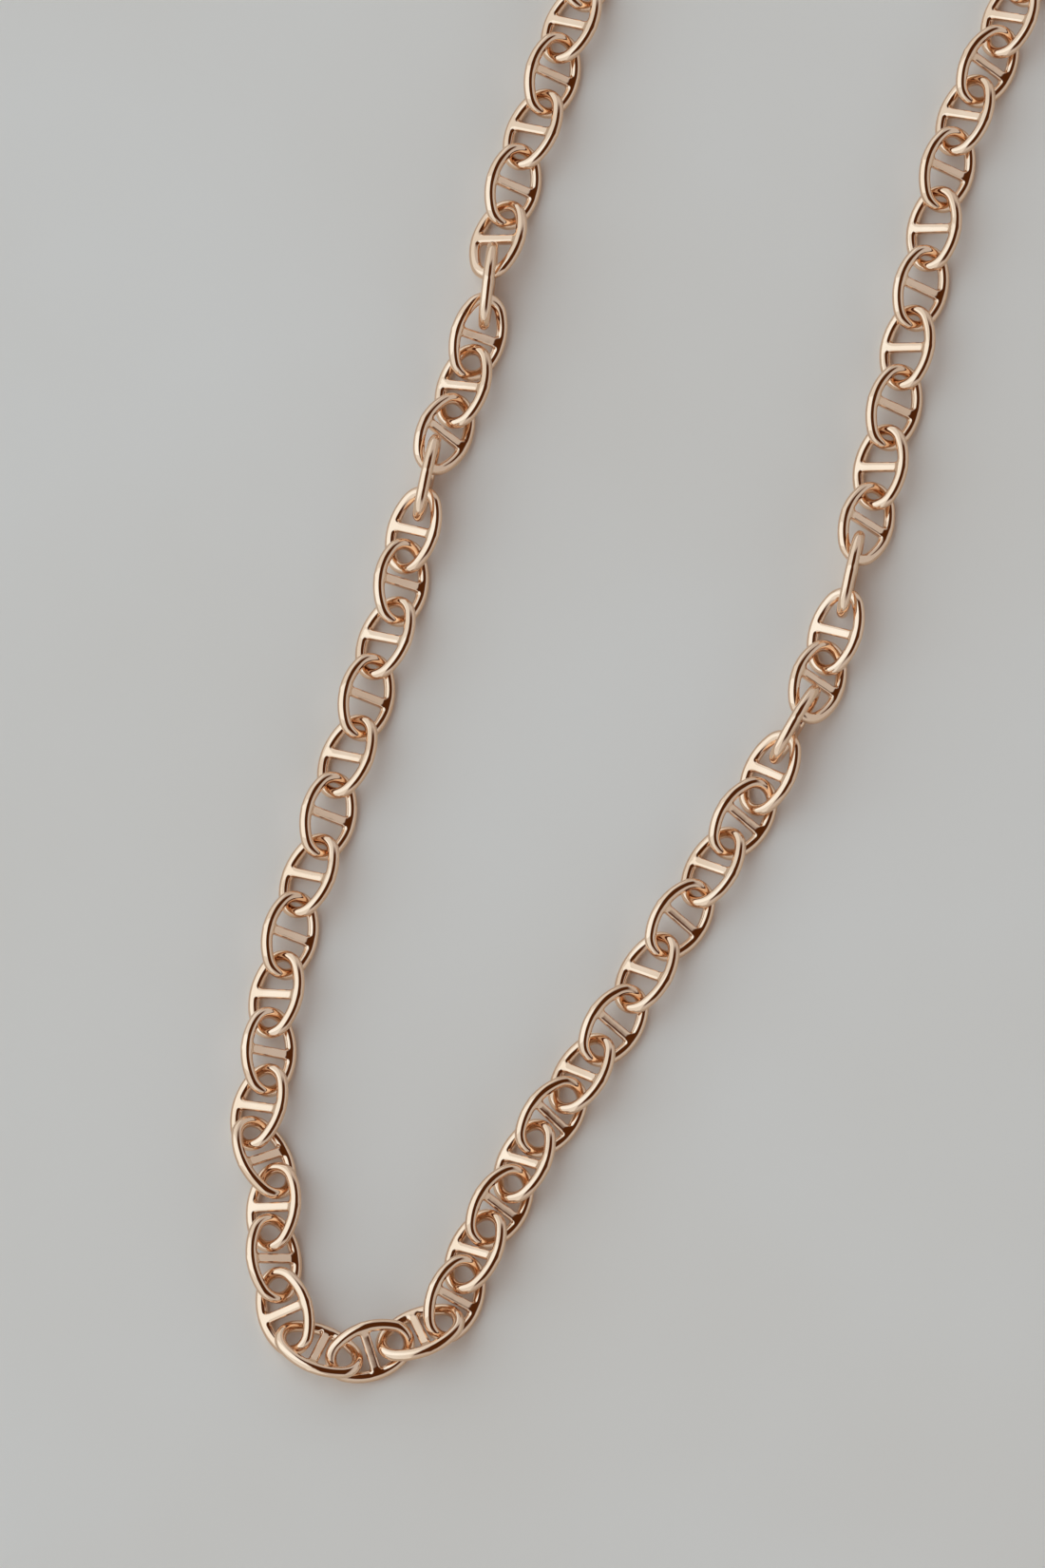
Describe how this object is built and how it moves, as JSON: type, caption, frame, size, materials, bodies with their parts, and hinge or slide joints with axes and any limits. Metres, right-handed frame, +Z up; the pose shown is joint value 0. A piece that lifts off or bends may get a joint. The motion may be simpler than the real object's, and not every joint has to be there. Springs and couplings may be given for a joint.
{
  "type": "chain necklace",
  "caption": "Stud-link necklace chain of round-wire oval links with straight crossbars, shown unfastened, with a lever clasp and a catch ring.",
  "frame": {"origin": "centre of the footprint, on the surface that the necklace lies on", "axes": "+Z up from that surface; +Y from the front of the necklace, where the chain turns back, towards its two free ends; +X to the right with the ends pointing away"},
  "size_m": [0.0892, 0.172, 0.0063],
  "materials": {
    "plated_gold": "polished light rose-gold plating over brass",
    "spring_wire": "drawn spring wire"
  },
  "bodies": {
    "link_04": {"link_04": "plated_gold"},
    "link_05": {"link_05": "plated_gold"},
    "link_06": {"link_06": "plated_gold"},
    "link_07": {"link_07": "plated_gold"},
    "link_08": {"link_08": "plated_gold"},
    "link_09": {"link_09": "plated_gold"},
    "link_10": {"link_10": "plated_gold"},
    "link_11": {"link_11": "plated_gold"},
    "link_12": {"link_12": "plated_gold"},
    "link_13": {"link_13": "plated_gold"},
    "link_14": {"link_14": "plated_gold"},
    "link_15": {"link_15": "plated_gold"},
    "link_16": {"link_16": "plated_gold"},
    "link_17": {"link_17": "plated_gold"},
    "link_18": {"link_18": "plated_gold"},
    "link_19": {"link_19": "plated_gold"},
    "link_20": {"link_20": "plated_gold"},
    "link_21": {"link_21": "plated_gold"},
    "link_22": {"link_22": "plated_gold"},
    "link_23": {"link_23": "plated_gold"},
    "link_24": {"link_24": "plated_gold"},
    "link_25": {"link_25": "plated_gold"},
    "link_26": {"link_26": "plated_gold"},
    "link_27": {"link_27": "plated_gold"},
    "link_28": {"link_28": "plated_gold"},
    "link_29": {"link_29": "plated_gold"},
    "link_30": {"link_30": "plated_gold"},
    "link_31": {"link_31": "plated_gold"},
    "link_32": {"link_32": "plated_gold"},
    "link_33": {"link_33": "plated_gold"},
    "link_34": {"link_34": "plated_gold"},
    "link_35": {"link_35": "plated_gold"},
    "link_36": {"link_36": "plated_gold"},
    "link_37": {"link_37": "plated_gold"},
    "link_38": {"link_38": "plated_gold"},
    "link_39": {"link_39": "plated_gold"},
    "link_40": {"link_40": "plated_gold"},
    "link_41": {"link_41": "plated_gold"},
    "link_42": {"link_42": "plated_gold"},
    "link_43": {"link_43": "plated_gold"},
    "link_44": {"link_44": "plated_gold"},
    "link_45": {"link_45": "plated_gold"},
    "link_46": {"link_46": "plated_gold"},
    "link_47": {"link_47": "plated_gold"},
    "link_48": {"link_48": "plated_gold"},
    "link_49": {"link_49": "plated_gold"},
    "link_50": {"link_50": "plated_gold"},
    "link_51": {"link_51": "plated_gold"},
    "link_52": {"link_52": "plated_gold"},
    "link_53": {"link_53": "plated_gold"},
    "link_54": {"link_54": "plated_gold"},
    "link_55": {"link_55": "plated_gold"},
    "links_clasp_end": {"links_clasp_end": "plated_gold"},
    "links_catch_end": {"links_catch_end": "plated_gold"},
    "clasp_ring": {"clasp_ring": "plated_gold"},
    "clasp": {"clasp_body": "plated_gold", "clasp_pin": "plated_gold", "clasp_spring": "spring_wire"},
    "lever": {"clasp_lever": "plated_gold"},
    "catch_ring": {"catch_ring": "plated_gold"}
  },
  "joints": [
    {"name": "swing_link_28", "type": "hinge", "parent": "link_29", "child": "link_28", "pos_m": [-0.03426, -0.08426, 0.00187], "axis": [-0.2868, 0.8171, 0.5], "range_deg": [-20, 10]},
    {"name": "swing_link_27", "type": "hinge", "parent": "link_28", "child": "link_27", "pos_m": [-0.03927, -0.08113, 0.00187], "axis": [-0.3412, -0.796, 0.5], "range_deg": [-20, 5]},
    {"name": "swing_link_26", "type": "hinge", "parent": "link_27", "child": "link_26", "pos_m": [-0.04015, -0.07498, 0.00187], "axis": [-0.8261, -0.26, -0.5], "range_deg": [-20, 35]},
    {"name": "swing_link_25", "type": "hinge", "parent": "link_26", "child": "link_25", "pos_m": [-0.04055, -0.06935, 0.00187], "axis": [0.8607, 0.0957, -0.5], "range_deg": [-25, 35]},
    {"name": "swing_link_24", "type": "hinge", "parent": "link_25", "child": "link_24", "pos_m": [-0.03977, -0.06405, 0.00187], "axis": [0.8622, -0.0817, 0.5], "range_deg": [-15, 30]},
    {"name": "swing_link_23", "type": "hinge", "parent": "link_24", "child": "link_23", "pos_m": [-0.04296, -0.05931, 0.00187], "axis": [-0.7762, -0.3841, 0.5], "range_deg": [-20, 10]},
    {"name": "swing_link_22", "type": "hinge", "parent": "link_23", "child": "link_22", "pos_m": [-0.04056, -0.05382, 0.00187], "axis": [-0.8344, 0.2318, -0.5], "range_deg": [-25, 30]},
    {"name": "swing_link_21", "type": "hinge", "parent": "link_22", "child": "link_21", "pos_m": [-0.04049, -0.04796, 0.00187], "axis": [0.8645, -0.0505, -0.5], "range_deg": [-20, 35]},
    {"name": "swing_link_20", "type": "hinge", "parent": "link_21", "child": "link_20", "pos_m": [-0.0392, -0.04203, 0.00187], "axis": [0.8504, -0.164, 0.5], "range_deg": [-20, 30]},
    {"name": "swing_link_19", "type": "hinge", "parent": "link_20", "child": "link_19", "pos_m": [-0.03769, -0.03593, 0.00187], "axis": [-0.8419, 0.2028, 0.5], "range_deg": [-20, 20]},
    {"name": "swing_link_18", "type": "hinge", "parent": "link_19", "child": "link_18", "pos_m": [-0.03529, -0.02983, 0.00187], "axis": [-0.8109, 0.304, -0.5], "range_deg": [-20, 15]},
    {"name": "swing_link_17", "type": "hinge", "parent": "link_18", "child": "link_17", "pos_m": [-0.03385, -0.02343, 0.00187], "axis": [0.8419, -0.2029, -0.5], "range_deg": [-10, 30]},
    {"name": "swing_link_16", "type": "hinge", "parent": "link_17", "child": "link_16", "pos_m": [-0.03146, -0.01733, 0.00187], "axis": [0.8109, -0.304, 0.5], "range_deg": [-10, 30]},
    {"name": "swing_link_15", "type": "hinge", "parent": "link_16", "child": "link_15", "pos_m": [-0.03002, -0.01093, 0.00187], "axis": [-0.8419, 0.2029, 0.5], "range_deg": [-20, 15]},
    {"name": "swing_link_14", "type": "hinge", "parent": "link_15", "child": "link_14", "pos_m": [-0.02763, -0.00483, 0.00187], "axis": [-0.8109, 0.3039, -0.5], "range_deg": [-25, 25]},
    {"name": "swing_link_13", "type": "hinge", "parent": "link_14", "child": "link_13", "pos_m": [-0.02686, 0.00125, 0.00187], "axis": [0.8559, -0.1318, -0.5], "range_deg": [-30, 15]},
    {"name": "swing_link_12", "type": "hinge", "parent": "link_13", "child": "link_12", "pos_m": [-0.02506, 0.00657, 0.00275], "axis": [0.8036, -0.3343, 0.4924], "range_deg": [-15, 30]},
    {"name": "swing_link_11", "type": "hinge", "parent": "link_12", "child": "link_11", "pos_m": [-0.02398, 0.01197, 0.00315], "axis": [0, 0, -1], "range_deg": [-30, 5]},
    {"name": "swing_link_10", "type": "hinge", "parent": "link_11", "child": "link_10", "pos_m": [-0.02134, 0.01658, 0.00133], "axis": [-0.74, 0.4582, 0.4924], "range_deg": [-30, 15]},
    {"name": "swing_link_09", "type": "hinge", "parent": "link_10", "child": "link_09", "pos_m": [-0.02005, 0.02205, 0.00187], "axis": [0.8339, -0.2337, 0.5], "range_deg": [-30, 10]},
    {"name": "swing_link_08", "type": "hinge", "parent": "link_09", "child": "link_08", "pos_m": [-0.0185, 0.02718, 0.00275], "axis": [0.8549, -0.1636, -0.4924], "range_deg": [-35, 40]},
    {"name": "swing_link_07", "type": "hinge", "parent": "link_08", "child": "link_07", "pos_m": [-0.01813, 0.03253, 0.00315], "axis": [0, 0, -1], "range_deg": [-10, 40]},
    {"name": "swing_link_06", "type": "hinge", "parent": "link_07", "child": "link_06", "pos_m": [-0.01659, 0.03766, 0.00133], "axis": [-0.8598, 0.1352, -0.4924], "range_deg": [-40, 0]},
    {"name": "swing_link_05", "type": "hinge", "parent": "link_06", "child": "link_05", "pos_m": [-0.01503, 0.0435, 0.00187], "axis": [0.8369, -0.2227, -0.5], "range_deg": [-20, 30]},
    {"name": "swing_link_04", "type": "hinge", "parent": "link_05", "child": "link_04", "pos_m": [-0.0125, 0.04948, 0.00187], "axis": [0.8032, -0.3239, 0.5], "range_deg": [-25, 35]},
    {"name": "swing_links_clasp_end", "type": "hinge", "parent": "link_04", "child": "links_clasp_end", "pos_m": [-0.01095, 0.05551, 0.00187], "axis": [-0.8352, 0.2291, 0.5], "range_deg": [-35, 30]},
    {"name": "swing_link_30", "type": "hinge", "parent": "link_29", "child": "link_30", "pos_m": [-0.02657, -0.08156, 0.00187], "axis": [-0.2868, 0.8171, 0.5], "range_deg": [-25, 35]},
    {"name": "swing_link_31", "type": "hinge", "parent": "link_30", "child": "link_31", "pos_m": [-0.02162, -0.07943, 0.00187], "axis": [0.332, -0.7999, 0.5], "range_deg": [-10, 10]},
    {"name": "swing_link_32", "type": "hinge", "parent": "link_31", "child": "link_32", "pos_m": [-0.02037, -0.07377, 0.00187], "axis": [0.7999, -0.332, -0.5], "range_deg": [-25, 35]},
    {"name": "swing_link_33", "type": "hinge", "parent": "link_32", "child": "link_33", "pos_m": [-0.01824, -0.06894, 0.00187], "axis": [-0.7941, 0.3456, -0.5], "range_deg": [-25, 35]},
    {"name": "swing_link_34", "type": "hinge", "parent": "link_33", "child": "link_34", "pos_m": [-0.01523, -0.06457, 0.00187], "axis": [-0.7329, 0.4614, 0.5], "range_deg": [-25, 35]},
    {"name": "swing_link_35", "type": "hinge", "parent": "link_34", "child": "link_35", "pos_m": [-0.0133, -0.05961, 0.00187], "axis": [0.794, -0.3459, 0.5], "range_deg": [-25, 35]},
    {"name": "swing_link_36", "type": "hinge", "parent": "link_35", "child": "link_36", "pos_m": [-0.00965, -0.05558, 0.00187], "axis": [0.6794, -0.537, -0.5], "range_deg": [-25, 35]},
    {"name": "swing_link_37", "type": "hinge", "parent": "link_36", "child": "link_37", "pos_m": [-0.00709, -0.05074, 0.00187], "axis": [-0.7506, 0.4319, -0.5], "range_deg": [-25, 35]},
    {"name": "swing_link_38", "type": "hinge", "parent": "link_37", "child": "link_38", "pos_m": [-0.00357, -0.04593, 0.00187], "axis": [-0.7087, 0.4978, 0.5], "range_deg": [-10, 30]},
    {"name": "swing_link_39", "type": "hinge", "parent": "link_38", "child": "link_39", "pos_m": [-0.00063, -0.04017, 0.00187], "axis": [0.7647, -0.4064, 0.5], "range_deg": [-20, 20]},
    {"name": "swing_link_40", "type": "hinge", "parent": "link_39", "child": "link_40", "pos_m": [0.00318, -0.03494, 0.00187], "axis": [0.7087, -0.4977, -0.5], "range_deg": [-20, 20]},
    {"name": "swing_link_41", "type": "hinge", "parent": "link_40", "child": "link_41", "pos_m": [0.00612, -0.02917, 0.00187], "axis": [-0.7648, 0.4064, -0.5], "range_deg": [-20, 35]},
    {"name": "swing_link_42", "type": "hinge", "parent": "link_41", "child": "link_42", "pos_m": [0.00957, -0.02428, 0.00187], "axis": [-0.7159, 0.4873, 0.5], "range_deg": [-5, 40]},
    {"name": "swing_link_43", "type": "hinge", "parent": "link_42", "child": "link_43", "pos_m": [0.01178, -0.01929, 0.00275], "axis": [0.7411, -0.4563, 0.4924], "range_deg": [-25, 40]},
    {"name": "swing_link_44", "type": "hinge", "parent": "link_43", "child": "link_44", "pos_m": [0.01464, -0.0146, 0.00315], "axis": [0, 0, -1], "range_deg": [-20, 15]},
    {"name": "swing_link_45", "type": "hinge", "parent": "link_44", "child": "link_45", "pos_m": [0.01641, -0.0096, 0.00133], "axis": [-0.7718, 0.4022, 0.4924], "range_deg": [-20, 30]},
    {"name": "swing_link_46", "type": "hinge", "parent": "link_45", "child": "link_46", "pos_m": [0.018, -0.00418, 0.00275], "axis": [-0.8004, 0.342, -0.4924], "range_deg": [-20, 20]},
    {"name": "swing_link_47", "type": "hinge", "parent": "link_46", "child": "link_47", "pos_m": [0.01925, 0.00171, 0.00315], "axis": [0, 0, -1], "range_deg": [-30, 5]},
    {"name": "swing_link_48", "type": "hinge", "parent": "link_47", "child": "link_48", "pos_m": [0.02134, 0.00722, 0.00133], "axis": [0.7871, -0.3715, -0.4924], "range_deg": [0, 30]},
    {"name": "swing_link_49", "type": "hinge", "parent": "link_48", "child": "link_49", "pos_m": [0.02215, 0.01349, 0.00187], "axis": [-0.8553, 0.1357, -0.5], "range_deg": [-10, 30]},
    {"name": "swing_link_50", "type": "hinge", "parent": "link_49", "child": "link_50", "pos_m": [0.02405, 0.01977, 0.00187], "axis": [-0.8324, 0.2389, 0.5], "range_deg": [-10, 30]},
    {"name": "swing_link_51", "type": "hinge", "parent": "link_50", "child": "link_51", "pos_m": [0.02498, 0.02626, 0.00187], "axis": [0.8553, -0.1357, 0.5], "range_deg": [-20, 15]},
    {"name": "swing_link_52", "type": "hinge", "parent": "link_51", "child": "link_52", "pos_m": [0.02688, 0.03254, 0.00187], "axis": [0.8324, -0.2389, -0.5], "range_deg": [-20, 15]},
    {"name": "swing_link_53", "type": "hinge", "parent": "link_52", "child": "link_53", "pos_m": [0.02781, 0.03903, 0.00187], "axis": [-0.8553, 0.1357, -0.5], "range_deg": [-10, 30]},
    {"name": "swing_link_54", "type": "hinge", "parent": "link_53", "child": "link_54", "pos_m": [0.02971, 0.0453, 0.00187], "axis": [-0.8324, 0.2389, 0.5], "range_deg": [-25, 30]},
    {"name": "swing_link_55", "type": "hinge", "parent": "link_54", "child": "link_55", "pos_m": [0.03189, 0.05107, 0.00187], "axis": [0.8132, -0.2979, 0.5], "range_deg": [-35, 30]},
    {"name": "swing_links_catch_end", "type": "hinge", "parent": "link_55", "child": "links_catch_end", "pos_m": [0.03476, 0.05613, 0.00187], "axis": [0.7646, -0.4066, -0.5], "range_deg": [-35, 30]},
    {"name": "swing_clasp_ring", "type": "hinge", "parent": "links_clasp_end", "child": "clasp_ring", "pos_m": [-0.00565, 0.07325, 0.00187], "axis": [0.8279, -0.254, 0.5], "range_deg": [-25, 25]},
    {"name": "swing_clasp", "type": "hinge", "parent": "clasp_ring", "child": "clasp", "pos_m": [-0.00493, 0.07562, 0.0013], "axis": [-0.8059, 0.3257, 0.4943], "range_deg": [-25, 25]},
    {"name": "lever_pivot", "type": "hinge", "parent": "clasp", "child": "lever", "pos_m": [-0.00135, 0.07944, 0.0013], "axis": [0, 0, 1], "range_deg": [0, 25], "stiffness_Nm_per_rad": 0.0004, "springref_deg": -11.46},
    {"name": "swing_catch_ring", "type": "hinge", "parent": "links_catch_end", "child": "catch_ring", "pos_m": [0.042, 0.07328, 0.00187], "axis": [-0.8077, 0.3125, -0.5], "range_deg": [-35, 35]}
  ]
}
